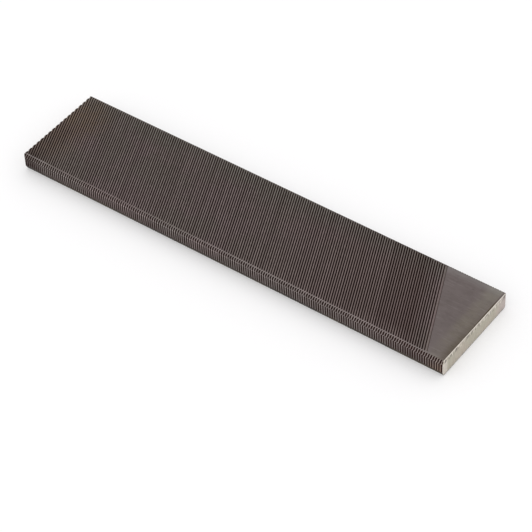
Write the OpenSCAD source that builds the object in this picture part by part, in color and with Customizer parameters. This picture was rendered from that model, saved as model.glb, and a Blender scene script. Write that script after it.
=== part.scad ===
// Fret bevel file: a short length of flat file stock with single-cut teeth on both faces,
// straight teeth across both narrow edges, and a smooth heel at one end.
// Sizes are in millimetres. The bar lies along X with its heel at +X, its width is along Y,
// and it lies flat on Z = 0. X = 0 and Y = 0 are the middle of the bar.

/* [Bar] */
// Length of the bar, from the cut end to the heel end
bar_length = 115.5; // [60:0.5:200]
// Width of the bar over the crests of the edge teeth
bar_width = 25.4; // [16:0.2:40]
// Thickness of the bar over the crests of the face teeth
bar_thickness = 4.8; // [3.6:0.1:8]

/* [Corners] */
// How far a toothed bevel at a long corner reaches in across the face
bevel_width = 0.6; // [0.3:0.05:1.2]
// How far a toothed bevel at a long corner reaches along the edge
bevel_height = 0.6; // [0.3:0.05:1.2]
// How far the smooth relief at the lower -Y corner reaches in across the face
relief_width = 1; // [0.6:0.05:2]
// How far the smooth relief at the lower -Y corner reaches up the edge
relief_height = 1.9; // [0.6:0.05:2.2]
// Size of the small bevel between the heel end and each face
heel_end_bevel = 0.15; // [0.05:0.05:0.5]

/* [Face teeth] */
// Distance between face teeth, measured along the bar
face_pitch = 0.608; // [0.56:0.002:1.2]
// Angle of the face teeth from square across the bar, in degrees
face_slant = 23.5; // [5:0.1:30]
// Width of the flat on the crest of each face tooth
face_land = 0.2; // [0.05:0.01:0.3]
// Depth of the face teeth from crest to root
face_depth = 0.3; // [0.1:0.01:0.4]
// Lean of the cutting side of the face teeth from upright, in degrees
face_rake = 16; // [4:1:22]
// Length of the smooth heel, measured along the middle of the face
heel_length = 9.4; // [6:0.05:25]
// Number of face teeth that grow shallower towards the heel
fading_teeth = 2; // [1:1:8]

/* [Edge teeth] */
// Distance between edge teeth, measured along the bar
edge_pitch = 0.608; // [0.56:0.002:1.2]
// Width of the flat on the crest of each edge tooth
edge_land = 0.18; // [0.05:0.01:0.3]
// Depth of the edge teeth from crest to root
edge_depth = 0.28; // [0.1:0.01:0.4]
// Lean of the cutting side of the edge teeth from upright, in degrees
edge_rake = 16; // [4:1:22]

/* [Hidden] */
// Spare metal round the bar before its faces and edges are cut
stock = 1;
// Length that the cutters run past the bar
overrun = 2 * stock;
// Distance from the middle of the bar that the face cutters cover
reach = norm([bar_length, bar_width]) / 2 + overrun;
// Distance between face teeth, measured square to the teeth
face_step = face_pitch * cos(face_slant);
// Place where the face teeth end, measured square to the teeth
heel_start = (bar_length / 2 - heel_length) * cos(face_slant);

// Share of its full depth that a tooth has, counted from the last tooth of its row
function tooth_share(index, fading) = min(1, (index + 1) / fading);

// Outline of the metal cut away above a row of teeth, with their crests on Y = 0.
// The row ends at X = last. Each tooth has a flat crest, a long back that falls towards +X
// and, at the next crest, a steep cutting side that faces -X.
function cut_outline(last, step, land, depth, rake, fading) = let(
    top_index = ceil((last + reach) / step),
    first = last - (top_index + 1) * step
) concat(
    [for (index = [top_index:-1:0])
        let(
            crest = last - (index + 1) * step,
            tooth_depth = depth * tooth_share(index, fading)
        )
        each [
            [crest, 0],
            [crest + land, 0],
            [crest + step - tooth_depth * tan(rake), -tooth_depth]
        ]
    ],
    [[last, 0], [reach, 0], [reach, overrun], [first, overrun]]
);

// Repeats its children on the other side of the bar, a half turn about its length away
module both_sides() {
    for (turn = [0, 180])
        translate([0, 0, bar_thickness / 2])
            rotate([turn, 0, 0])
                translate([0, 0, -bar_thickness / 2])
                    children();
}

// Repeats its children, made at the upper +Y corner, at the three toothed long corners
module toothed_corners() {
    children();
    mirror([0, 1, 0])
        children();
    translate([0, 0, bar_thickness])
        mirror([0, 0, 1])
            children();
}

// Bar before it is cut, with spare metal on its faces and edges
module raw_bar() {
    translate([-bar_length / 2, -bar_width / 2 - stock, -stock])
        cube([bar_length, bar_width + 2 * stock, bar_thickness + 2 * stock]);
}

// Cutter that leaves the slanted teeth and the smooth heel of the upper face
module face_cutter() {
    translate([0, 0, bar_thickness])
        rotate([90, 0, face_slant])
            linear_extrude(height = 2 * reach, center = true)
                polygon(cut_outline(heel_start, face_step, face_land, face_depth, face_rake, fading_teeth));
}

// Cutter that leaves a row of straight teeth along the bar, facing +Y
module edge_row_cutter() {
    linear_extrude(height = bar_thickness + 2 * overrun, center = true)
        polygon(cut_outline(bar_length / 2, edge_pitch, edge_land, edge_depth, edge_rake, 1));
}

// Cutter that leaves the toothed flat of the edge at +Y
module edge_cutter() {
    translate([0, bar_width / 2, bar_thickness / 2])
        edge_row_cutter();
}

// Cutter that leaves the toothed bevel of the upper +Y corner
module bevel_cutter() {
    translate([0, (bar_width - bevel_width) / 2, bar_thickness - bevel_height / 2])
        rotate([atan2(bevel_width, bevel_height), 0, 0])
            edge_row_cutter();
}

// Cutter that leaves the smooth relief of the lower -Y corner
module relief_cutter() {
    translate([0, (relief_width - bar_width) / 2, relief_height / 2])
        rotate([atan2(relief_width, relief_height), 0, 0])
            translate([-reach, -overrun, -bar_thickness / 2 - overrun])
                cube([2 * reach, overrun, bar_thickness + 2 * overrun]);
}

// Cutter that leaves the small bevel between the heel end and the upper face
module heel_end_cutter() {
    translate([bar_length / 2, 0, bar_thickness])
        rotate([0, 45, 0])
            cube([overrun, bar_width + 2 * overrun, heel_end_bevel * sqrt(2)], center = true);
}

// The whole file, one bar of hardened steel
module file_bar() {
    color("#48423f")
        difference() {
            difference() {
                difference() {
                    raw_bar();
                    both_sides() face_cutter();
                }
                both_sides() {
                    edge_cutter();
                    heel_end_cutter();
                }
                relief_cutter();
            }
            toothed_corners() bevel_cutter();
        }
}

file_bar();
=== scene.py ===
"""Studio scene of a fret bevel file: a short steel bar with teeth on its faces and edges.

The bar is modelled in millimetres, tooth by tooth, as solids whose common part is the file: one for
each toothed face, flat and bevel, and one each for the smooth relief, the two ends and the upright
corners of the ends. Each solid marks its surfaces with the zone that they become, so that every zone
of the finished bar has its own finish.
"""
import math

import bmesh
import bpy
import numpy as np
from mathutils import Matrix, Vector


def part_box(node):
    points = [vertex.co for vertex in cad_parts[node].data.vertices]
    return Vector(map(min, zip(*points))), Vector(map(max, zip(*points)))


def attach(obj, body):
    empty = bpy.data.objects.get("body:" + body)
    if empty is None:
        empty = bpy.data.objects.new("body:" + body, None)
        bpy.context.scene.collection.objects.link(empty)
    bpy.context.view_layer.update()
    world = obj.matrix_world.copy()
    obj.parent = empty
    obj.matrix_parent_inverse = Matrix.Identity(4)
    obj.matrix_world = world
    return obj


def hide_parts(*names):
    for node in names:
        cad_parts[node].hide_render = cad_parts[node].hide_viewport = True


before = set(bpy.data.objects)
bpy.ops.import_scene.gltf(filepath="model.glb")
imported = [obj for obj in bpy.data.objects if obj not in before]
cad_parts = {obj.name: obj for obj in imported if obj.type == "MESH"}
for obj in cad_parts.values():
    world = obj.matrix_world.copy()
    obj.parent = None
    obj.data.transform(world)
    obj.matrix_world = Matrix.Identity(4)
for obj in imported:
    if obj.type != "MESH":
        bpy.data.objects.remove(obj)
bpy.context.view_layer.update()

# Overall size, from the frame
MM = 0.001
bar_low, bar_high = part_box("file_bar")
LENGTH, WIDTH, THICKNESS = (bar_high - bar_low) / MM

# Places of the two ends along the bar, and of the two edges across it
CUT_X, HEEL_X = -LENGTH / 2, LENGTH / 2
NEAR_Y, FAR_Y = -WIDTH / 2, WIDTH / 2

# Face teeth, in millimetres and radians
FACE_PITCH = 0.608
FACE_SLANT = math.radians(23.5)
FACE_LAND = 0.21
FACE_DEPTH = 0.30
FACE_RAKE = math.radians(16)
HEEL_LENGTH = 9.4
HEEL_START = HEEL_X - HEEL_LENGTH
FADING_TEETH = 3

# Edge teeth. The rows of the flats and bevels are cut one by one, so their pitch and start differ a little.
FLAT_PITCH = 0.6095
BEVEL_PITCH = 0.6063
EDGE_LAND = 0.17
EDGE_DEPTH = 0.28
EDGE_RAKE = math.radians(16)
NEAR_FLAT_SHIFT = 0.08
NEAR_BEVEL_SHIFT = 0.27
FAR_FLAT_SHIFT = 0.08
FAR_BEVEL_SHIFT = 0.3

# Rounding of a crest's flat and of a root
LAND_FALL = 0.015
ROOT_ROUND = 0.03

# Long corners: three toothed bevels and, at the lower near corner, a smooth relief
BEVEL_WIDTH = 0.6
BEVEL_HEIGHT = 0.6
RELIEF_WIDTH = 1.0
RELIEF_HEIGHT = 1.9

# Worn strip of a face beside a long corner: its width, how far the teeth of the face fade towards it,
# and the share of their depth that is left
STRIP_WIDTH = 0.3
STRIP_FADE = 0.2
STRIP_SHARE = 0.15

# Worn corner and ridge of a bevel: how far its teeth fade towards them, and the shares of their depth left
CORNER_FADE = 0.15
CORNER_SHARE = 0.4
RIDGE_FADE = 0.2
RIDGE_SHARE = 0.45

# Bevels beside the heel end: at the upper face, from its near to its far end, and at the lower face
RIM_NEAR = 0.06
RIM_FAR = 0.35
RIM_LOW = 0.15

# Cuts across the upright corners of the ends, measured along each side
CUT_NEAR_CORNER = 0.45
CUT_FAR_CORNER = 0.2
HEEL_NEAR_CORNER = 0.1
HEEL_FAR_CORNER = 0.3

# Irregularity of the teeth: sideways shift, depth and crest height of single teeth, and waviness along
# a tooth
TOOTH_SHIFT = 0.010
DEPTH_SPREAD = 0.06
CREST_DROP = 0.008
WANDER = 0.006

# How finely the faces are divided, and how far the solids pass beyond the bar
FACE_STATIONS = 14
SPARE = 0.5

# Zones of the surface, in the order of the bar's material slots
FACE_TEETH, EDGE_TEETH, HEEL, HEEL_RIM, HEEL_END, CUT_END, RELIEF = range(7)

# Camera, fitted to the bar in the photograph, in millimetres and radians
CAMERA_AZIMUTH = math.radians(38.236)
CAMERA_ELEVATION = math.radians(45.060)
CAMERA_ROLL = math.radians(2.827)
CAMERA_PLACE = Vector((235.328, -295.987, 369.240))
CAMERA_LENS = 159.055
CAMERA_SENSOR = 36.0

# Light and floor. The glow is seen by the camera and in reflections, and lights nothing. The reach is in
# millimetres.
SKY_STRENGTH = 1.03
FLOOR_COLOUR = (0.71, 0.705, 0.71)
FLOOR_GLOW = 0.29
FLOOR_REACH = 3000.0

# Colours of the steel, linear
LAND_WARM = (0.215, 0.168, 0.166)
LAND_OLIVE = (0.192, 0.166, 0.150)
LAND_GREEN = (0.178, 0.167, 0.148)
LAND_RED = (0.222, 0.168, 0.163)
LAND_BROWN = (0.210, 0.156, 0.128)
EDGE_WARM = (0.418, 0.338, 0.334)
EDGE_OLIVE = (0.380, 0.340, 0.322)
EDGE_GREY = (0.395, 0.336, 0.326)
EDGE_BROWN = (0.280, 0.200, 0.150)
# Grime colours; they also paint shade in the gaps between teeth and low on the edges
GRIME_AND_SHADE = (0.028, 0.016, 0.012)
RED_GRIME_AND_SHADE = (0.045, 0.022, 0.018)
MAROON = (0.048, 0.027, 0.026)
OCHRE = (0.185, 0.130, 0.088)
WORN = (0.46, 0.425, 0.415)
HEEL_STEEL = (0.149, 0.124, 0.1205)
HEEL_OLIVE = (0.172, 0.149, 0.127)
# Burnt steel; also the painted contact shadow at the heel end's lower edge, and painted shade on the relief
HEEL_BURNT_AND_SHADOW = (0.085, 0.066, 0.046)
HEEL_PALE = (0.45, 0.46, 0.44)
# Dark scale of the relief, partly painted shade
SCALE_AND_SHADE = (0.060, 0.052, 0.046)
GROUND = (0.535, 0.482, 0.408)
GROUND_BRIGHT = (0.69, 0.64, 0.58)
GROUND_DULL = (0.45, 0.405, 0.335)
GROUND_OLIVE = (0.48, 0.46, 0.376)
GROUND_PINK = (0.50, 0.43, 0.41)
GROUND_FLECK = (0.16, 0.14, 0.125)
# Bright burr, partly a painted highlight at the top of the heel end; also the bright nicks
BURR_AND_HIGHLIGHT = (0.80, 0.75, 0.68)

# Lowest and highest roughness of each finish
TOOTH_ROUGH = (0.36, 0.62)
HEEL_ROUGH = (0.34, 0.46)
RIM_ROUGH = (0.38, 0.5)
GROUND_ROUGH = (0.40, 0.52)
SCALE_ROUGH = (0.6, 0.8)

# Height of the fine relief in millimetres: grain on most of the bar, and hairlines on the satin heel
GRAIN_HEIGHT = 0.006
HAIRLINE_HEIGHT = 0.004

# Stretches along the bar over which the finish of the teeth changes, in millimetres
HEELWARD_TINT = (-15.0, 30.0)
HEELWARD_WEAR = (-25.0, 10.0)
HEELWARD_GRIME_AND_SHADE = (0.05 * LENGTH, HEEL_X)
BESIDE_HEEL = (HEEL_START - 7.0, HEEL_START - 1.0)
CUT_END_WEAR = (CUT_X + 9.0, CUT_X + 1.0)
CUT_END_GRIME_AND_SHADE = (CUT_X + 9.0, CUT_X + 3.0)

# Stretches across the bar and down it over which the finish of the teeth changes
FAR_TINT = (5.0, 12.0)
NEAR_EDGE_GRIME_AND_SHADE = (NEAR_Y + 0.4, NEAR_Y + 4.5)
NEAR_HALF_GRIME_AND_SHADE = (6.0, -2.0)
# Painted shade on the edges: darker from the upper ridge down to half the thickness of the bar
LOW_PAINTED_SHADE = (THICKNESS - BEVEL_HEIGHT, THICKNESS / 2)

# Stretches along and across the bar over which the finish of the heel changes
HEEL_END_TINT = (HEEL_X - 5.0, HEEL_X - 2.5)
HEEL_END_BURN = (HEEL_X - 2.2, HEEL_X - 0.3)
NEAR_HALF_BURN = (6.0, -9.0)
FAR_SIDE_PALE = (FAR_Y - 3.0, FAR_Y - 0.7)
FAR_CORNER_PALE = (3.0, FAR_Y)
NEAR_SIDE_PALE = (NEAR_Y + 3.0, NEAR_Y + 0.7)

# Stretches across and up the heel end over which its finish and that of its rim change
RIM_BURN = (6.0, 11.5)
FAR_END_PINK = (FAR_Y - 5.0, FAR_Y - 1.0)
FACET_SIDE = (NEAR_Y + 2.4, NEAR_Y + 1.9)
FACET_TOP = (THICKNESS - 0.9, THICKNESS - 1.4)
# Painted contact shadow along the lower edge of the heel end
LOW_EDGE_SHADOW = (0.55, 0.40)

# Stretches down from the upper rim of the heel end: the burr with its painted highlight on its bevel and on
# the end, and the nicks
RIM_BURR_HIGHLIGHT_TOP = (-0.08, -0.02)
RIM_BURR_HIGHLIGHT_END = (1.0, 0.5)
END_BURR_HIGHLIGHT = (0.22, 0.12)
NICKS_END = (1.5, 0.9)

# Lean of the nicks, in radians
NICK_LEAN = 0.5

# Stains and grime on the teeth: x, y, z and reach in millimetres, strength and colour
STAINS = [
    (CUT_X + 3.25, 5.0, THICKNESS, 10.0, 0.6, OCHRE),
    (CUT_X + 1.75, -4.5, THICKNESS, 10.0, 0.8, LAND_BROWN),
    (CUT_X + 1.75, NEAR_Y, 0.6, 6.0, 0.95, MAROON),
    (HEEL_X - 8.25, NEAR_Y, -0.5, 7.5, 0.42, GRIME_AND_SHADE),
    (HEEL_X - 0.75, NEAR_Y, 2.0, 4.0, 0.8, EDGE_BROWN),
]


# Nodes of the materials

class Finish:
    """A material, with short calls that add nodes and give their output sockets."""

    def __init__(self, name, metallic=1.0, specular=0.5):
        self.material = bpy.data.materials.new(name)
        self.material.use_nodes = True
        self.tree = self.material.node_tree
        self.shader = self.tree.nodes["Principled BSDF"]
        self.set("Metallic", metallic)
        self.set("Specular IOR Level", specular)

    def put(self, socket, value):
        """Links an output socket to an input socket, or sets the input to a plain value."""
        if isinstance(value, bpy.types.NodeSocket):
            self.tree.links.new(value, socket)
        elif isinstance(value, tuple) and len(value) == 3 and socket.type == "RGBA":
            socket.default_value = (*value, 1)
        else:
            socket.default_value = value

    def set(self, name, value):
        """Gives an input of the shader an output socket or a plain value."""
        self.put(self.shader.inputs[name], value)

    def add(self, kind, output, inputs, **settings):
        """Adds a node with these settings and inputs, and gives one of its outputs."""
        node = self.tree.nodes.new(kind)
        for name, value in settings.items():
            setattr(node, name, value)
        for name, value in inputs.items():
            self.put(node.inputs[name], value)
        return node.outputs[output]

    def place(self):
        """Place on the bar in millimetres."""
        raw = self.add("ShaderNodeTexCoord", "Object", {})
        return self.scaled(raw, (1 / MM, 1 / MM, 1 / MM))

    def scaled(self, vector, factors):
        """Vector with each of its parts multiplied by a factor."""
        return self.add("ShaderNodeVectorMath", "Vector", {0: vector, 1: factors}, operation="MULTIPLY")

    def part(self, vector, axis):
        """One part of a vector."""
        return self.add("ShaderNodeSeparateXYZ", axis, {0: vector})

    def noise(self, place, per_mm, detail=2.0, rough=0.5):
        """Noise with about so many features per millimetre along each axis, mostly between 0.3 and 0.7."""
        inputs = {"Vector": self.scaled(place, per_mm), "Scale": 1.0, "Detail": detail, "Roughness": rough}
        return self.add("ShaderNodeTexNoise", "Fac", inputs)

    def ramp(self, value, low, high, start=0.0, end=1.0):
        """Smooth change from start, where the value is low, to end, where it is high."""
        inputs = {"Value": value, "From Min": low, "From Max": high, "To Min": start, "To Max": end}
        return self.add("ShaderNodeMapRange", "Result", inputs, interpolation_type="SMOOTHSTEP")

    def sum(self, first, second):
        """Sum of two values."""
        return self.add("ShaderNodeMath", "Value", {0: first, 1: second}, operation="ADD")

    def product(self, first, second):
        """Product of two values."""
        return self.add("ShaderNodeMath", "Value", {0: first, 1: second}, operation="MULTIPLY")

    def larger(self, first, second):
        """The larger of two values."""
        return self.add("ShaderNodeMath", "Value", {0: first, 1: second}, operation="MAXIMUM")

    def mix(self, share, first, second):
        """Colour between two colours."""
        inputs = {"Factor": share, "A": first, "B": second}
        return self.add("ShaderNodeMix", "Result", inputs, data_type="RGBA")

    def mark(self, name):
        """Value stored on the mesh."""
        return self.add("ShaderNodeAttribute", "Fac", {}, attribute_name=name)

    def near(self, vector, centre, reach):
        """1 at a centre, falling to 0 at a distance from it."""
        apart = self.add("ShaderNodeVectorMath", "Value", {0: vector, 1: centre}, operation="DISTANCE")
        return self.ramp(apart, 0.2 * reach, reach, 1.0, 0.0)

    def surface(self, colour, rough, pattern, height):
        """Sets the colour, the roughness and a fine relief, whose height is in millimetres."""
        self.set("Base Color", colour)
        self.set("Roughness", rough)
        inputs = {"Height": pattern, "Distance": height * MM, "Strength": 1.0}
        self.set("Normal", self.add("ShaderNodeBump", "Normal", inputs))


# Finishes of the teeth

def slanted_place(finish, place):
    """Where along the bar's middle line the face tooth through a place lies."""
    upper = finish.sum(finish.part(place, "Z"), -THICKNESS / 2)
    way = finish.add("ShaderNodeMath", "Value", {0: upper}, operation="SIGN")
    across = finish.product(finish.part(place, "Y"), way)
    return finish.sum(finish.part(place, "X"), finish.product(across, math.tan(FACE_SLANT)))


def tooth_steel(finish, place, colours, low_shade, off_heel, speckle):
    """Colour of the teeth: warm and olive patches, and a third colour towards the heel but not beside it.

    The far side is greener, single teeth differ in tone, and low on the bar the steel darkens as painted
    shade.
    """
    warm, olive, heelward = colours
    patches = finish.noise(place, (0.09, 0.13, 0.13), detail=3.0)
    steel = finish.mix(finish.ramp(patches, 0.38, 0.62, 0.0, 0.8), warm, olive)
    towards_heel = finish.ramp(finish.part(place, "X"), *HEELWARD_TINT, 0.0, 0.7)
    steel = finish.mix(finish.product(towards_heel, off_heel), steel, heelward)
    far_side = finish.ramp(finish.part(place, "Y"), *FAR_TINT, 0.0, 0.7)
    steel = finish.mix(far_side, steel, LAND_GREEN)
    tone = finish.sum(finish.product(finish.mark("tone"), 0.25), speckle)
    steel = finish.mix(finish.ramp(tone, 0.45, 0.95, 0.30, 0.0), steel, GRIME_AND_SHADE)
    # Painted shade: the steel darkens low on the bar, towards the floor
    low_shade_mask = finish.ramp(finish.part(place, "Z"), *LOW_PAINTED_SHADE, 0.0, low_shade)
    return finish.mix(low_shade_mask, steel, GRIME_AND_SHADE)


def worn_and_stained(finish, place, steel):
    """Steel of the teeth with bright wear where the mesh is marked as worn, and with the stains."""
    along = finish.part(place, "X")
    worn_end = finish.ramp(along, *CUT_END_WEAR, 0.0, 0.7)
    worn = finish.sum(worn_end, finish.ramp(along, *HEELWARD_WEAR, 0.05, 0.22))
    steel = finish.mix(finish.product(finish.mark("wear"), worn), steel, WORN)
    blotches = finish.noise(place, (0.6, 0.6, 0.6), detail=4.0)
    ragged = finish.ramp(blotches, 0.35, 0.6, 0.5, 1.0)
    for *centre, reach, strength, colour in STAINS:
        stain = finish.product(finish.near(place, tuple(centre), reach), strength)
        steel = finish.mix(finish.product(stain, ragged), steel, colour)
    return steel


def end_rise(finish, place, heelwards, rise):
    """How far the grime and the painted shade between the teeth rise near the ends.

    They rise towards the heel, but not beside the near edge, and on the near half of the cut end.
    """
    across = finish.part(place, "Y")
    inwards = finish.ramp(across, *NEAR_EDGE_GRIME_AND_SHADE)
    at_heel = finish.product(finish.product(heelwards, rise), inwards)
    near_half = finish.ramp(across, *NEAR_HALF_GRIME_AND_SHADE, 0.0, 0.8 * rise)
    at_cut = finish.product(finish.ramp(finish.part(place, "X"), *CUT_END_GRIME_AND_SHADE), near_half)
    return finish.sum(at_heel, at_cut)


def toothed_finish(name, colours, grime_and_shade_start, grime_and_shade_full, grime_and_shade_rise, polish, low_shade):
    """Oiled steel with worn, fairly bright crests, and dark grime in the gaps between the teeth, partly
    painted shade.

    The grime and painted shade start and are full at these shares of the tooth depth. They rise by up to
    grime_and_shade_rise near the ends, fall by polish on worn ridges, and are redder towards the heel.
    """
    finish = Finish(name)
    place = finish.place()
    heelwards = finish.ramp(finish.part(place, "X"), *HEELWARD_GRIME_AND_SHADE)
    off_heel = finish.ramp(slanted_place(finish, place), *BESIDE_HEEL, 1.0, 0.15)
    speckle = finish.noise(place, (1.2, 1.2, 1.2), detail=3.0)
    steel = tooth_steel(finish, place, colours, low_shade, off_heel, speckle)
    steel = worn_and_stained(finish, place, steel)

    rise = end_rise(finish, place, finish.product(heelwards, off_heel), grime_and_shade_rise)
    spread = finish.sum(rise, finish.product(speckle, 0.16))
    polished = finish.product(finish.mark("wear"), -polish)
    # Grime with painted shade: the deeper in a gap between teeth, the darker
    depth = finish.sum(finish.mark("depth"), finish.sum(spread, polished))
    grime_and_shade = finish.ramp(depth, grime_and_shade_start, grime_and_shade_full)
    colour = finish.mix(grime_and_shade, steel, finish.mix(heelwards, GRIME_AND_SHADE, RED_GRIME_AND_SHADE))
    grain = finish.noise(place, (14.0, 14.0, 14.0), detail=3.0, rough=0.6)
    finish.surface(colour, finish.ramp(grime_and_shade, 0.0, 1.0, *TOOTH_ROUGH), grain, GRAIN_HEIGHT)
    return finish.material


# Finishes of the heel and the ends

def scratched(finish, place, steel):
    """Satin steel with dark mottling, and with fine dark and bright scratches along the bar."""
    mottle = finish.noise(place, (0.4, 0.6, 0.6), detail=4.0, rough=0.6)
    steel = finish.mix(finish.ramp(mottle, 0.42, 0.68, 0.0, 0.12), steel, GRIME_AND_SHADE)
    scratch = finish.noise(place, (0.28, 2.6, 2.6), detail=4.0, rough=0.6)
    steel = finish.mix(finish.ramp(scratch, 0.52, 0.75, 0.0, 0.10), steel, GRIME_AND_SHADE)
    steel = finish.mix(finish.ramp(scratch, 0.46, 0.28, 0.0, 0.08), steel, WORN)
    dash = finish.noise(place, (0.5, 2.8, 2.8), detail=1.0)
    return finish.mix(finish.ramp(dash, 0.70, 0.80, 0.0, 0.30), steel, GRIME_AND_SHADE)


def heel_finish(name):
    """Satin steel, olive next to the end, burnt at its near corner, scratched, and pale along its sides."""
    finish = Finish(name)
    place = finish.place()
    along = finish.part(place, "X")
    across = finish.part(place, "Y")
    cloud = finish.noise(place, (0.16, 0.3, 0.3), detail=3.0)
    near_end = finish.ramp(along, *HEEL_END_TINT)
    olive = finish.product(near_end, finish.ramp(cloud, 0.3, 0.6, 0.4, 1.0))
    steel = finish.mix(olive, HEEL_STEEL, HEEL_OLIVE)
    near_half = finish.ramp(across, *NEAR_HALF_BURN, 0.1, 1.0)
    burnt = finish.product(finish.ramp(along, *HEEL_END_BURN), near_half)
    steel = finish.mix(finish.product(burnt, 0.6), steel, HEEL_BURNT_AND_SHADOW)
    steel = scratched(finish, place, steel)
    far_side = finish.ramp(across, *FAR_SIDE_PALE, 0.0, 0.13)
    far_corner = finish.product(near_end, finish.ramp(across, *FAR_CORNER_PALE, 0.0, 0.075))
    steel = finish.mix(finish.sum(far_side, far_corner), steel, HEEL_PALE)
    near_side = finish.ramp(across, *NEAR_SIDE_PALE, 0.0, 0.07)
    steel = finish.mix(near_side, steel, WORN)
    hairline = finish.noise(place, (0.5, 22.0, 22.0))
    finish.surface(steel, finish.ramp(cloud, 0.3, 0.7, *HEEL_ROUGH), hairline, HAIRLINE_HEIGHT)
    return finish.material


def below_rim(finish, place):
    """Distance down from the upper rim of the heel end, which falls towards its far end."""
    slope = (RIM_NEAR - RIM_FAR) / WIDTH
    rim = finish.sum(finish.product(finish.part(place, "Y"), slope), THICKNESS - (RIM_NEAR + RIM_FAR) / 2)
    return finish.sum(rim, finish.product(finish.part(place, "Z"), -1.0))


def rim_finish(name):
    """Narrow bevel beside the heel end: a bright burr with a painted highlight next to the end, dark scaled
    steel next to the face.
    """
    finish = Finish(name)
    place = finish.place()
    grain = finish.noise(place, (8.0, 8.0, 8.0), detail=3.0)
    dark = finish.mix(finish.ramp(finish.part(place, "Y"), *RIM_BURN), HEEL_BURNT_AND_SHADOW, HEEL_STEEL)
    depth = below_rim(finish, place)
    # Bright burr with a painted highlight next to the end
    burr_highlight = finish.product(finish.ramp(depth, *RIM_BURR_HIGHLIGHT_TOP), finish.ramp(depth, *RIM_BURR_HIGHLIGHT_END))
    colour = finish.mix(burr_highlight, dark, BURR_AND_HIGHLIGHT)
    finish.surface(colour, finish.ramp(grain, 0.3, 0.7, *RIM_ROUGH), grain, GRAIN_HEIGHT)
    return finish.material


def ground_marks(finish, place):
    """Marks left by grinding an end."""
    return finish.noise(place, (1.0, 2.4, 0.5), detail=4.0, rough=0.6)


def ground_steel(finish, place, marks):
    """Colour of ground steel with faint marks and soft changes of tint."""
    steel = finish.mix(finish.ramp(marks, 0.35, 0.68, 0.0, 0.7), GROUND, GROUND_DULL)
    tint = finish.noise(place, (0.2, 0.2, 0.2))
    return finish.mix(finish.ramp(tint, 0.4, 0.6, 0.0, 0.6), steel, GROUND_OLIVE)


def ground_surface(finish, place, colour, marks):
    """Sets the surface of a ground end."""
    grain = finish.noise(place, (1.0, 16.0, 0.8), detail=3.0)
    finish.surface(colour, finish.ramp(marks, 0.3, 0.7, *GROUND_ROUGH), grain, GRAIN_HEIGHT)


def near_facet(finish, place):
    """How much of the heel end's bright, mottled facet shows: it lies below the burr at the near corner."""
    near_corner = finish.ramp(finish.part(place, "Y"), *FACET_SIDE)
    low_part = finish.ramp(finish.part(place, "Z"), *FACET_TOP)
    mottle = finish.noise(place, (2.0, 2.0, 2.0), detail=3.0)
    facet = finish.product(near_corner, low_part)
    return finish.product(facet, finish.ramp(mottle, 0.35, 0.6, 1.0, 0.7))


def burr_highlight_and_shadow(finish, place, steel):
    """Ground steel: a bright burr and painted highlight at its upper rim, leaning nicks below that, painted
    shadow at its lower edge.
    """
    depth = below_rim(finish, place)
    turn = {"Vector": place, "Angle": NICK_LEAN}
    leaning = finish.add("ShaderNodeVectorRotate", "Vector", turn, rotation_type="X_AXIS")
    nicks = finish.noise(leaning, (1.0, 2.1, 0.9), detail=1.0)
    under_burr = finish.ramp(depth, *NICKS_END)
    dark = finish.product(finish.ramp(nicks, 0.51, 0.61, 0.0, 0.8), under_burr)
    steel = finish.mix(dark, steel, GROUND_FLECK)
    bright = finish.product(finish.ramp(nicks, 0.44, 0.34, 0.0, 0.8), under_burr)
    steel = finish.mix(bright, steel, BURR_AND_HIGHLIGHT)
    # Burr with a painted highlight along the top of the end
    steel = finish.mix(finish.ramp(depth, *END_BURR_HIGHLIGHT), steel, BURR_AND_HIGHLIGHT)
    # Painted contact shadow along the lower edge of the end
    ragged = finish.sum(finish.part(place, "Z"), finish.product(nicks, 0.4))
    return finish.mix(finish.ramp(ragged, *LOW_EDGE_SHADOW, 0.0, 0.8), steel, HEEL_BURNT_AND_SHADOW)


def heel_end_finish(name):
    """Freshly ground end with a burr and painted highlight, a bright facet at its near corner, a pinkish
    far corner and painted shadow along its lower edge.
    """
    finish = Finish(name)
    place = finish.place()
    marks = ground_marks(finish, place)
    steel = ground_steel(finish, place, marks)
    far_end = finish.ramp(finish.part(place, "Y"), *FAR_END_PINK, 0.0, 0.8)
    steel = finish.mix(far_end, steel, GROUND_PINK)
    steel = finish.mix(near_facet(finish, place), steel, GROUND_BRIGHT)
    ground_surface(finish, place, burr_highlight_and_shadow(finish, place, steel), marks)
    return finish.material


def cut_end_finish(name):
    """Ground end that has darkened with age."""
    finish = Finish(name)
    place = finish.place()
    marks = ground_marks(finish, place)
    aged = finish.noise(place, (0.4, 0.4, 0.4), detail=4.0)
    ground = ground_steel(finish, place, marks)
    steel = finish.mix(finish.ramp(aged, 0.3, 0.7, 0.3, 0.65), ground, HEEL_STEEL)
    ground_surface(finish, place, steel, marks)
    return finish.material


def relief_finish(name):
    """Dull, dark scale with marks along the bar; its darkness is partly painted shade over the floor."""
    finish = Finish(name, metallic=0.0, specular=0.1)
    place = finish.place()
    marks = finish.noise(place, (0.3, 6.0, 6.0), detail=4.0, rough=0.65)
    cloud = finish.noise(place, (0.15, 0.5, 0.5), detail=3.0)
    # Dark scale with painted shade: the relief faces the floor
    scale_and_shade = finish.mix(finish.ramp(cloud, 0.35, 0.65), HEEL_BURNT_AND_SHADOW, SCALE_AND_SHADE)
    scale_and_shade = finish.mix(finish.ramp(marks, 0.5, 0.75, 0.0, 0.5), scale_and_shade, GRIME_AND_SHADE)
    finish.surface(scale_and_shade, finish.ramp(marks, 0.3, 0.7, *SCALE_ROUGH), marks, GRAIN_HEIGHT)
    return finish.material


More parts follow.
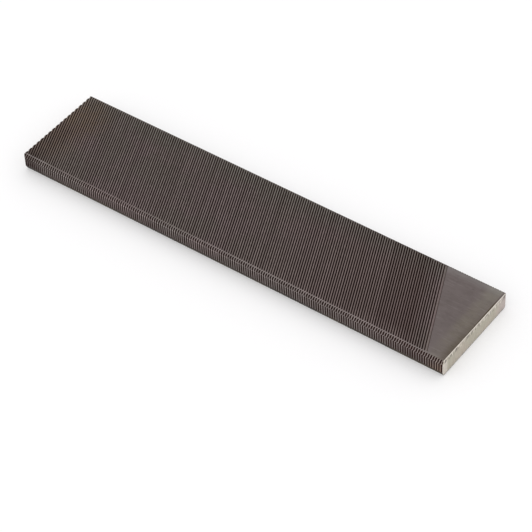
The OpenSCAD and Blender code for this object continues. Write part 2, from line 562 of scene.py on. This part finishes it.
# In the order of the zones
finishes = [
    toothed_finish(
        "toothed_face", (LAND_WARM, LAND_OLIVE, LAND_RED),
        grime_and_shade_start=0.16, grime_and_shade_full=0.56, grime_and_shade_rise=0.19, polish=0.0, low_shade=0.0),
    toothed_finish(
        "toothed_edge", (EDGE_WARM, EDGE_OLIVE, EDGE_GREY),
        grime_and_shade_start=0.07, grime_and_shade_full=0.31, grime_and_shade_rise=0.0, polish=0.23, low_shade=0.43),
    heel_finish("satin_heel"),
    rim_finish("heel_rim"),
    heel_end_finish("ground_heel_end"),
    cut_end_finish("ground_cut_end"),
    relief_finish("smooth_relief"),
]


# Rows of teeth

def tooth_outline(step, land, depth, rake):
    """One tooth as (place, drop) points from its crest up to the next crest, which isn't repeated."""
    root = step - depth * math.tan(rake)
    back_end = root - ROOT_ROUND
    back_drop = LAND_FALL + (depth - LAND_FALL) * (back_end - land) / (root - land)
    return [
        (0.0, 0.0),
        (land, LAND_FALL),
        (back_end, back_drop),
        (root + ROOT_ROUND * math.tan(rake), depth - ROOT_ROUND),
    ]


def tooth_row(first, last, outline, step, fading, chance):
    """Places, drops and tooth numbers along a row of teeth that ends just before a crest at last.

    The teeth are numbered from the end of the row, and those up to the number fading are shallower.
    """
    count = math.ceil((last - first) / step)
    places, drops, numbers = [], [], []
    for number in range(count, 0, -1):
        share = min(1.0, number / fading)
        shift = TOOTH_SHIFT * chance.uniform(-1, 1) * share
        deep = share * (1 + DEPTH_SPREAD * chance.uniform(-1, 1))
        crest = CREST_DROP * chance.uniform(0, 1) * share
        for place, drop in outline:
            places.append(last - number * step + place + shift)
            drops.append(crest + drop * deep)
            numbers.append(number)
    return np.array(places), np.array(drops), np.array(numbers)


# Solids

def grid_quads(rows, columns):
    """Quads of a grid of vertices stored row by row."""
    corners = [row * columns + column for row in range(rows - 1) for column in range(columns - 1)]
    return [(i, i + 1, i + columns + 1, i + columns) for i in corners]


def grid_rim(rows, columns):
    """Vertices round the rim of a grid, in order."""
    rim = [row * columns for row in range(rows)]
    rim += [(rows - 1) * columns + column for column in range(1, columns)]
    rim += [row * columns + columns - 1 for row in range(rows - 2, -1, -1)]
    rim += list(range(columns - 2, 0, -1))
    return rim


def block_faces(rows, columns):
    """Faces of a closed block between two grids of vertices: upper grid, lower grid, then the sides."""
    size = rows * columns
    upper = grid_quads(rows, columns)
    lower = [tuple(i + size for i in reversed(quad)) for quad in upper]
    rim = grid_rim(rows, columns)
    sides = [(here, there, there + size, here + size) for here, there in zip(rim, rim[1:] + rim[:1])]
    return upper + lower + sides


def turned(angle, y=0.0, z=0.0):
    """Turn about the bar's length, followed by a shift across the bar."""
    return Matrix.Translation((0, y, z)) @ Matrix.Rotation(angle, 4, "X")


def solid_object(name, vertices, faces, zones):
    """Linked object of a closed mesh whose faces look outwards and carry their zones."""
    mesh = bpy.data.meshes.new(name)
    mesh.from_pydata(vertices.tolist(), [], faces)
    for material in finishes:
        mesh.materials.append(material)
    mesh.polygons.foreach_set("material_index", zones)
    shape = bmesh.new()
    shape.from_mesh(mesh)
    bmesh.ops.recalc_face_normals(shape, faces=shape.faces)
    shape.to_mesh(mesh)
    shape.free()
    made = bpy.data.objects.new(name, mesh)
    bpy.context.scene.collection.objects.link(made)
    return made


def toothed_solid(name, zones, row, stations, lean, deep, place, chance):
    """Closed block with teeth across its upper side, set against the bar by a turn and a shift.

    The row gives places along the bar, drops and tooth numbers, and the zones are those of its teeth and of
    its last stretch. A station is a place across the block and the share of the tooth depth cut there.
    """
    along, drop, number = row
    across, share = np.array(stations).T
    wander = WANDER * chance.uniform(-1, 1, (number.max() + 1, len(across)))
    dip = WANDER * chance.uniform(0, 1, (number.max() + 1, len(across)))
    wander[0] = 0
    dip[0] = 0
    rows, columns = len(along), len(across)
    x = along[:, None] - lean * across + wander[number]
    y = np.broadcast_to(across, (rows, columns))
    z = -drop[:, None] * share - dip[number]
    top = np.stack([x, y, z], -1).reshape(-1, 3)
    base = top * (1, 1, 0) - (0, 0, deep)
    vertices = np.concatenate([top, base])
    set_place = np.array(place)
    vertices = vertices @ set_place[:3, :3].T + set_place[:3, 3]

    teeth_zone, last_zone = zones
    faces = block_faces(rows, columns)
    face_zones = [teeth_zone] * len(faces)
    last_row = (rows - 2) * (columns - 1)
    for face in range(last_row, last_row + columns - 1):
        face_zones[face] = last_zone
    return solid_object(name, vertices, faces, face_zones)


def face_solid(name, seed, place, worn_corner=None):
    """Block with a toothed face and its smooth heel, worn beside a long corner at a place across it."""
    chance = np.random.default_rng(seed)
    lean = math.tan(FACE_SLANT)
    stretch = 1 / math.cos(FACE_SLANT)
    beyond = HEEL_X + lean * WIDTH / 2 + 2 * SPARE
    step = FACE_PITCH / stretch
    outline = tooth_outline(step, FACE_LAND, FACE_DEPTH, FACE_RAKE)
    first, last = -beyond / stretch, HEEL_START / stretch
    along, drop, number = tooth_row(first, last, outline, step, FADING_TEETH, chance)
    along = np.append(along * stretch, [HEEL_START, beyond])
    drop = np.append(drop, [0.0, 0.0])
    number = np.append(number, [0, 0])

    side = WIDTH / 2 + SPARE
    stations = []
    inner = -side
    if worn_corner is not None:
        stations += [(-side, STRIP_SHARE), (worn_corner + STRIP_WIDTH, STRIP_SHARE)]
        inner = worn_corner + STRIP_WIDTH + STRIP_FADE
    stations += [(y, 1.0) for y in np.linspace(inner, side, FACE_STATIONS)]
    row = (along, drop, number)
    deep = THICKNESS + 2 * SPARE
    return toothed_solid(name, (FACE_TEETH, HEEL), row, stations, lean, deep, place, chance)


def edge_solid(name, seed, pitch, shift, stations, place):
    """Block with straight teeth along the bar, for the flat or the bevel of an edge."""
    chance = np.random.default_rng(seed)
    first, last = CUT_X - 2 * pitch, HEEL_X + 2 * pitch
    outline = tooth_outline(pitch, EDGE_LAND, EDGE_DEPTH, EDGE_RAKE)
    along, drop, number = tooth_row(first, last, outline, pitch, 1, chance)
    row = (along + shift, drop, number)
    zones = (EDGE_TEETH, EDGE_TEETH)
    return toothed_solid(name, zones, row, sorted(stations), 0.0, WIDTH + SPARE, place, chance)


def flat_solid(name, seed, shift, side):
    """Block with the toothed flat of the edge on one side, -1 or 1."""
    ridge = THICKNESS / 2 - BEVEL_HEIGHT
    beyond = THICKNESS / 2 + SPARE
    stations = []
    for way in (-1, 1):
        stations += [
            (way * (ridge - RIDGE_FADE), 1.0),
            (way * ridge, RIDGE_SHARE),
            (way * beyond, RIDGE_SHARE),
        ]
    place = turned(-side * math.pi / 2, side * WIDTH / 2, THICKNESS / 2)
    return edge_solid(name, seed, FLAT_PITCH, shift, stations, place)


def bevel_solid(name, seed, shift, side, level):
    """Block with the toothed bevel of the long corner on one side and at one level, each -1 or 1."""
    half = math.hypot(BEVEL_WIDTH, BEVEL_HEIGHT) / 2
    corner = -side * level
    stations = [
        (corner * WIDTH, CORNER_SHARE),
        (corner * half, CORNER_SHARE),
        (corner * (half - CORNER_FADE), 1.0),
        (corner * (RIDGE_FADE - half), 1.0),
        (corner * -half, RIDGE_SHARE),
        (corner * -WIDTH, RIDGE_SHARE),
    ]
    lean_out = math.atan2(side * BEVEL_HEIGHT, level * BEVEL_WIDTH)
    middle_y = side * (WIDTH - BEVEL_WIDTH) / 2
    middle_z = THICKNESS / 2 + level * (THICKNESS - BEVEL_HEIGHT) / 2
    return edge_solid(name, seed, BEVEL_PITCH, shift, stations, turned(-lean_out, middle_y, middle_z))


def relief_solid(name):
    """Block with the smooth relief of the lower near corner."""
    lean_out = math.atan2(-RELIEF_HEIGHT, -RELIEF_WIDTH)
    place = turned(-lean_out, (RELIEF_WIDTH - WIDTH) / 2, RELIEF_HEIGHT / 2)
    beyond = LENGTH / 2 + SPARE
    corners = [(x, y, z) for x in (-beyond, beyond) for y in (-WIDTH, WIDTH) for z in (-WIDTH - SPARE, 0)]
    vertices = np.array([place @ Vector(corner) for corner in corners])
    faces = [(0, 1, 3, 2), (4, 6, 7, 5), (0, 4, 5, 1), (2, 3, 7, 6), (0, 2, 6, 4), (1, 5, 7, 3)]
    return solid_object(name, vertices, faces, [RELIEF] * len(faces))


def end_solid(name):
    """Block with the bar's two flat ends and the bevels beside the heel end."""
    side = WIDTH / 2 + SPARE
    vertices = []
    for y, rim in ((-side, RIM_NEAR), (side, RIM_FAR)):
        vertices += [
            (CUT_X, y, -SPARE),
            (HEEL_X - RIM_LOW - SPARE, y, -SPARE),
            (HEEL_X, y, RIM_LOW),
            (HEEL_X, y, THICKNESS - rim),
            (HEEL_X - rim - SPARE, y, THICKNESS + SPARE),
            (CUT_X, y, THICKNESS + SPARE),
        ]
    size = len(vertices) // 2
    faces = [(i, i + size, (i + 1) % size + size, (i + 1) % size) for i in range(size)]
    zones = [HEEL, HEEL_RIM, HEEL_END, HEEL_RIM, HEEL, CUT_END]
    faces += [tuple(range(size)), tuple(range(2 * size - 1, size - 1, -1))]
    zones += [EDGE_TEETH, EDGE_TEETH]
    return solid_object(name, np.array(vertices), faces, zones)


def corner_solid(name):
    """Prism that cuts across the upright corners of the ends."""
    half_length, half_width = LENGTH / 2, WIDTH / 2
    reach = 2 * SPARE
    plan = []
    zones = []
    for x, y, cut, zone in (
        (-1, -1, CUT_NEAR_CORNER, EDGE_TEETH),
        (1, -1, HEEL_NEAR_CORNER, HEEL_END),
        (1, 1, HEEL_FAR_CORNER, HEEL_END),
        (-1, 1, CUT_FAR_CORNER, EDGE_TEETH),
    ):
        along_end = (x * (half_length + reach), y * (half_width - cut - reach))
        along_edge = (x * (half_length - cut - reach), y * (half_width + reach))
        plan += [along_end, along_edge] if x == y else [along_edge, along_end]
        zones += [zone, EDGE_TEETH]
    size = len(plan)
    vertices = np.array([(x, y, z) for z in (-SPARE, THICKNESS + SPARE) for x, y in plan])
    faces = [(i, (i + 1) % size, (i + 1) % size + size, i + size) for i in range(size)]
    faces += [tuple(range(size - 1, -1, -1)), tuple(range(size, 2 * size))]
    return solid_object(name, vertices, faces, zones + [EDGE_TEETH, EDGE_TEETH])


def drop_fins(mesh):
    """Splits a closed mesh into triangles and drops each pair of them that lies folded on itself."""
    shape = bmesh.new()
    shape.from_mesh(mesh)
    bmesh.ops.triangulate(shape, faces=shape.faces, quad_method="FIXED", ngon_method="EAR_CLIP")
    sharing = {}
    for face in shape.faces:
        sharing.setdefault(frozenset(face.verts), []).append(face)
    fins = [face for faces in sharing.values() if len(faces) > 1 for face in faces]
    bmesh.ops.delete(shape, geom=fins, context="FACES")
    shape.to_mesh(mesh)
    shape.free()


def common_part(name, solids):
    """New object of what all the solids share. The solids are removed."""
    first = solids[0]
    for other in solids[1:]:
        cut = first.modifiers.new(other.name, "BOOLEAN")
        cut.operation = "INTERSECT"
        cut.solver = "MANIFOLD"
        cut.object = other
    graph = bpy.context.evaluated_depsgraph_get()
    mesh = bpy.data.meshes.new_from_object(first.evaluated_get(graph))
    mesh.name = name
    drop_fins(mesh)
    for solid in solids:
        bpy.data.objects.remove(solid)
    made = bpy.data.objects.new(name, mesh)
    bpy.context.scene.collection.objects.link(made)
    return made


def polygon_values(mesh, name, width, kind):
    """One value of every polygon of a mesh, or a row of them."""
    values = np.zeros(width * len(mesh.polygons), dtype=kind)
    mesh.polygons.foreach_get(name, values)
    return values.reshape(-1, width) if width > 1 else values


def tooth_marks(mesh):
    """Depth and wear at every vertex, each as on a face and as on an edge. The mesh is in millimetres.

    The depth is 0 at a crest and 1 at a root.
    """
    places = np.zeros(3 * len(mesh.vertices))
    mesh.vertices.foreach_get("co", places)
    _, y, z = places.reshape(-1, 3).T
    inside = WIDTH / 2 - abs(y)
    below = THICKNESS / 2 - abs(z - THICKNESS / 2)
    bevel = (inside - BEVEL_WIDTH) * BEVEL_HEIGHT + below * BEVEL_WIDTH
    bevel /= math.hypot(BEVEL_WIDTH, BEVEL_HEIGHT)
    face_depth = below / FACE_DEPTH
    edge_depth = np.minimum(inside, bevel) / EDGE_DEPTH
    on_strip = (y < 0) & (z > THICKNESS / 2)
    strip_wear = np.where(on_strip, 1 - (inside - BEVEL_WIDTH - STRIP_WIDTH) / STRIP_FADE, 0)
    relief_ridge = np.where(y < 0, abs(z - RELIEF_HEIGHT), RIDGE_FADE)
    ridge = np.minimum(abs(below - BEVEL_HEIGHT), relief_ridge)
    ridge_wear = 1 - np.hypot(inside, ridge) / RIDGE_FADE
    return {"depth": (face_depth, edge_depth), "wear": (strip_wear, ridge_wear)}


def tooth_tones(mesh, on_edge, seed):
    """Tone of every polygon from 0 to 1: one for each face tooth, and for stretches as long on an edge."""
    middle = polygon_values(mesh, "center", 3, np.float32)
    lean = np.where(on_edge, 0, np.sign(middle[:, 2] - THICKNESS / 2) * math.tan(FACE_SLANT))
    row_end = np.where(on_edge, 0, HEEL_START)
    number = np.floor((middle[:, 0] + lean * middle[:, 1] - row_end) / FACE_PITCH).astype(int)
    tones = np.random.default_rng(seed).uniform(0, 1, math.ceil(4 * LENGTH / FACE_PITCH))
    return tones[number % len(tones)]


def mark_teeth(mesh, seed):
    """Stores the depth, the wear and the tone of the teeth on the corners of the polygons."""
    vertex = np.zeros(len(mesh.loops), dtype=np.int32)
    mesh.loops.foreach_get("vertex_index", vertex)
    corners = polygon_values(mesh, "loop_total", 1, np.int32)
    on_edge = polygon_values(mesh, "material_index", 1, np.int32) == EDGE_TEETH
    edge_corner = np.repeat(on_edge, corners)
    marks = {}
    for name, (as_face, as_edge) in tooth_marks(mesh).items():
        marks[name] = np.clip(np.where(edge_corner, as_edge[vertex], as_face[vertex]), 0, 1)
    marks["tone"] = np.repeat(tooth_tones(mesh, on_edge, seed), corners)
    for name, values in marks.items():
        attribute = mesh.attributes.new(name, "FLOAT", "CORNER")
        attribute.data.foreach_set("value", values.astype(np.float32))


NEAR, FAR = -1, 1
LOWER, UPPER = -1, 1
file_piece = common_part("toothed_bar", [
    face_solid("upper_face", seed=11, place=turned(0.0, z=THICKNESS), worn_corner=NEAR_Y + BEVEL_WIDTH),
    face_solid("lower_face", seed=12, place=turned(math.pi)),
    flat_solid("near_flat", seed=13, shift=NEAR_FLAT_SHIFT, side=NEAR),
    flat_solid("far_flat", seed=14, shift=FAR_FLAT_SHIFT, side=FAR),
    bevel_solid("near_upper_bevel", seed=15, shift=NEAR_BEVEL_SHIFT, side=NEAR, level=UPPER),
    bevel_solid("far_upper_bevel", seed=16, shift=FAR_BEVEL_SHIFT, side=FAR, level=UPPER),
    bevel_solid("far_lower_bevel", seed=17, shift=FAR_BEVEL_SHIFT, side=FAR, level=LOWER),
    relief_solid("near_relief"),
    end_solid("ends"),
    corner_solid("upright_corners"),
])
mark_teeth(file_piece.data, seed=18)
file_piece.data.transform(Matrix.Scale(MM, 4))
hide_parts("file_bar")
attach(file_piece, "root")


# Camera, light and floor

def make_camera():
    """Camera at the photograph's viewing angle."""
    level_right = Vector((math.cos(CAMERA_AZIMUTH), math.sin(CAMERA_AZIMUTH), 0))
    level_ahead = Vector((-math.sin(CAMERA_AZIMUTH), math.cos(CAMERA_AZIMUTH), 0))
    down = Vector((0, 0, -1))
    ahead = math.cos(CAMERA_ELEVATION) * level_ahead + math.sin(CAMERA_ELEVATION) * down
    level_up = level_right.cross(ahead)
    right = math.cos(CAMERA_ROLL) * level_right - math.sin(CAMERA_ROLL) * level_up
    up = math.sin(CAMERA_ROLL) * level_right + math.cos(CAMERA_ROLL) * level_up
    data = bpy.data.cameras.new("camera")
    data.lens = CAMERA_LENS
    data.sensor_width = CAMERA_SENSOR
    made = bpy.data.objects.new("camera", data)
    made.matrix_world = Matrix((right, up, -ahead)).transposed().to_4x4()
    made.location = CAMERA_PLACE * MM
    bpy.context.scene.collection.objects.link(made)
    bpy.context.scene.camera = made


def make_light():
    """Even white light from all round, as in a light tent."""
    world = bpy.data.worlds.new("light_tent")
    world.use_nodes = True
    sky = world.node_tree.nodes["Background"]
    sky.inputs["Color"].default_value = (1, 1, 1, 1)
    sky.inputs["Strength"].default_value = SKY_STRENGTH
    bpy.context.scene.world = world


def make_floor():
    """White paper under the bar, with a faint glow that only the camera and reflections see."""
    paper = Finish("paper", metallic=0.0, specular=0.0)
    paper.set("Roughness", 1.0)
    paper.set("Base Color", FLOOR_COLOUR)
    paper.set("Emission Color", (1.0, 1.0, 1.0))
    seen = 0.0
    for ray in ("Is Camera Ray", "Is Glossy Ray", "Is Transmission Ray"):
        seen = paper.larger(seen, paper.add("ShaderNodeLightPath", ray, {}))
    paper.set("Emission Strength", paper.product(seen, FLOOR_GLOW))
    mesh = bpy.data.meshes.new("floor")
    reach = FLOOR_REACH * MM
    corners = [(-reach, -reach, 0), (reach, -reach, 0), (reach, reach, 0), (-reach, reach, 0)]
    mesh.from_pydata(corners, [], [(0, 1, 2, 3)])
    mesh.materials.append(paper.material)
    made = bpy.data.objects.new("floor", mesh)
    bpy.context.scene.collection.objects.link(made)


make_camera()
make_light()
make_floor()
bpy.context.scene.view_settings.view_transform = "Standard"
